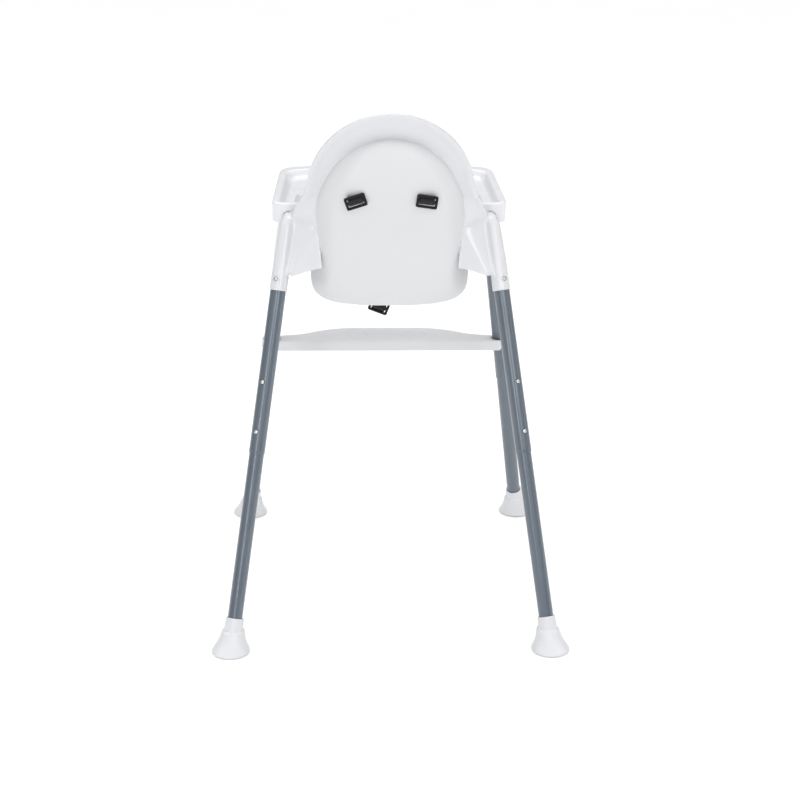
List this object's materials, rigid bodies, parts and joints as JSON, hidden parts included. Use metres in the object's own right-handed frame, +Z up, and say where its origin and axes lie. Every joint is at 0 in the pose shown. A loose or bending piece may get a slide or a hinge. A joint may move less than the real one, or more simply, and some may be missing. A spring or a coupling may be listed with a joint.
{
  "type": "baby high chair",
  "caption": "White moulded bucket seat on splayed steel tube legs, with a sliding tray, a footrest and a black harness.",
  "frame": {"origin": "on the floor under the middle of the chair, at the bottom centre of its bounding box", "axes": "+Z up from the floor, -Y the way the child faces, X across the chair and its mirror axis"},
  "size_m": [0.6104, 0.6636, 0.897],
  "materials": {
    "white_plastic": "gloss",
    "foot_white": "satin",
    "slate_tube": "gloss",
    "nickel": "polished",
    "black_plastic": "satin",
    "black_webbing": "woven"
  },
  "bodies": {
    "seat_frame": {"seat_shell": "white_plastic", "footrest": "white_plastic", "side_strap_left": "black_webbing", "side_strap_right": "black_webbing", "crotch_strap": "black_webbing", "strap_slide_left": "black_plastic", "strap_slide_right": "black_plastic", "strap_slide_crotch": "black_plastic", "buckle_body": "black_plastic", "buckle_tongue_left": "black_plastic", "buckle_tongue_right": "black_plastic", "upper_tube_rear_left": "slate_tube", "upper_tube_rear_right": "slate_tube", "upper_tube_front_left": "slate_tube", "upper_tube_front_right": "slate_tube"},
    "lower_leg_rear_left": {"lower_tube_rear_left": "slate_tube", "foot_rear_left": "foot_white"},
    "leg_snap_clip_rear_left_lower": {"leg_snap_clip_rear_left_lower": "nickel"},
    "leg_snap_clip_rear_left_upper": {"leg_snap_clip_rear_left_upper": "nickel"},
    "seat_snap_clip_rear_left": {"seat_snap_clip_rear_left": "nickel"},
    "lower_leg_rear_right": {"lower_tube_rear_right": "slate_tube", "foot_rear_right": "foot_white"},
    "leg_snap_clip_rear_right_lower": {"leg_snap_clip_rear_right_lower": "nickel"},
    "leg_snap_clip_rear_right_upper": {"leg_snap_clip_rear_right_upper": "nickel"},
    "seat_snap_clip_rear_right": {"seat_snap_clip_rear_right": "nickel"},
    "lower_leg_front_left": {"lower_tube_front_left": "slate_tube", "foot_front_left": "foot_white"},
    "leg_snap_clip_front_left_lower": {"leg_snap_clip_front_left_lower": "nickel"},
    "leg_snap_clip_front_left_upper": {"leg_snap_clip_front_left_upper": "nickel"},
    "seat_snap_clip_front_left": {"seat_snap_clip_front_left": "nickel"},
    "lower_leg_front_right": {"lower_tube_front_right": "slate_tube", "foot_front_right": "foot_white"},
    "leg_snap_clip_front_right_lower": {"leg_snap_clip_front_right_lower": "nickel"},
    "leg_snap_clip_front_right_upper": {"leg_snap_clip_front_right_upper": "nickel"},
    "seat_snap_clip_front_right": {"seat_snap_clip_front_right": "nickel"},
    "tray": {"tray": "white_plastic"},
    "release": {"buckle_release_button": "black_plastic"}
  },
  "joints": [
    {"name": "lower_leg_slide_rear_left", "type": "slide", "parent": "seat_frame", "child": "lower_leg_rear_left", "axis": [0.1348, 0.3153, -0.9394], "range_m": [0, 0.145], "deforming": ["leg_snap_clip_rear_left_lower", "leg_snap_clip_rear_left_upper"]},
    {"name": "leg_snap_button_rear_left_lower", "type": "slide", "parent": "lower_leg_rear_left", "child": "leg_snap_clip_rear_left_lower", "axis": [-0.4007, -0.8497, -0.3427], "range_m": [0, 0.0035], "stiffness_N_per_m": 900, "springref_m": -0.001},
    {"name": "leg_snap_button_rear_left_upper", "type": "slide", "parent": "lower_leg_rear_left", "child": "leg_snap_clip_rear_left_upper", "axis": [-0.4007, -0.8497, -0.3427], "range_m": [0, 0.0035], "stiffness_N_per_m": 900, "springref_m": -0.001},
    {"name": "seat_snap_button_rear_left", "type": "slide", "parent": "seat_frame", "child": "seat_snap_clip_rear_left", "axis": [-0.4007, -0.8497, -0.3427], "range_m": [0, 0.0035], "stiffness_N_per_m": 900, "springref_m": -0.001, "deforming": ["seat_snap_clip_rear_left"]},
    {"name": "lower_leg_slide_rear_right", "type": "slide", "parent": "seat_frame", "child": "lower_leg_rear_right", "axis": [-0.1348, 0.3153, -0.9394], "range_m": [0, 0.145], "deforming": ["leg_snap_clip_rear_right_lower", "leg_snap_clip_rear_right_upper"]},
    {"name": "leg_snap_button_rear_right_lower", "type": "slide", "parent": "lower_leg_rear_right", "child": "leg_snap_clip_rear_right_lower", "axis": [0.4007, -0.8497, -0.3427], "range_m": [0, 0.0035], "stiffness_N_per_m": 900, "springref_m": -0.001},
    {"name": "leg_snap_button_rear_right_upper", "type": "slide", "parent": "lower_leg_rear_right", "child": "leg_snap_clip_rear_right_upper", "axis": [0.4007, -0.8497, -0.3427], "range_m": [0, 0.0035], "stiffness_N_per_m": 900, "springref_m": -0.001},
    {"name": "seat_snap_button_rear_right", "type": "slide", "parent": "seat_frame", "child": "seat_snap_clip_rear_right", "axis": [0.4007, -0.8497, -0.3427], "range_m": [0, 0.0035], "stiffness_N_per_m": 900, "springref_m": -0.001, "deforming": ["seat_snap_clip_rear_right"]},
    {"name": "lower_leg_slide_front_left", "type": "slide", "parent": "seat_frame", "child": "lower_leg_front_left", "axis": [0.1187, -0.316, -0.9413], "range_m": [0, 0.145], "deforming": ["leg_snap_clip_front_left_lower", "leg_snap_clip_front_left_upper"]},
    {"name": "leg_snap_button_front_left_lower", "type": "slide", "parent": "lower_leg_front_left", "child": "leg_snap_clip_front_left_lower", "axis": [-0.4064, 0.8495, -0.3364], "range_m": [0, 0.0035], "stiffness_N_per_m": 900, "springref_m": -0.001},
    {"name": "leg_snap_button_front_left_upper", "type": "slide", "parent": "lower_leg_front_left", "child": "leg_snap_clip_front_left_upper", "axis": [-0.4064, 0.8495, -0.3364], "range_m": [0, 0.0035], "stiffness_N_per_m": 900, "springref_m": -0.001},
    {"name": "seat_snap_button_front_left", "type": "slide", "parent": "seat_frame", "child": "seat_snap_clip_front_left", "axis": [-0.4064, 0.8495, -0.3364], "range_m": [0, 0.0035], "stiffness_N_per_m": 900, "springref_m": -0.001, "deforming": ["seat_snap_clip_front_left"]},
    {"name": "lower_leg_slide_front_right", "type": "slide", "parent": "seat_frame", "child": "lower_leg_front_right", "axis": [-0.1187, -0.316, -0.9413], "range_m": [0, 0.145], "deforming": ["leg_snap_clip_front_right_lower", "leg_snap_clip_front_right_upper"]},
    {"name": "leg_snap_button_front_right_lower", "type": "slide", "parent": "lower_leg_front_right", "child": "leg_snap_clip_front_right_lower", "axis": [0.4064, 0.8495, -0.3364], "range_m": [0, 0.0035], "stiffness_N_per_m": 900, "springref_m": -0.001},
    {"name": "leg_snap_button_front_right_upper", "type": "slide", "parent": "lower_leg_front_right", "child": "leg_snap_clip_front_right_upper", "axis": [0.4064, 0.8495, -0.3364], "range_m": [0, 0.0035], "stiffness_N_per_m": 900, "springref_m": -0.001},
    {"name": "seat_snap_button_front_right", "type": "slide", "parent": "seat_frame", "child": "seat_snap_clip_front_right", "axis": [0.4064, 0.8495, -0.3364], "range_m": [0, 0.0035], "stiffness_N_per_m": 900, "springref_m": -0.001, "deforming": ["seat_snap_clip_front_right"]},
    {"name": "tray_slide", "type": "slide", "parent": "seat_frame", "child": "tray", "axis": [0, -1, 0], "range_m": [0, 0.24]},
    {"name": "buckle_release", "type": "slide", "parent": "seat_frame", "child": "release", "axis": [0, 0, -1], "range_m": [0, 0.0025], "stiffness_N_per_m": 700, "springref_m": -0.001}
  ]
}
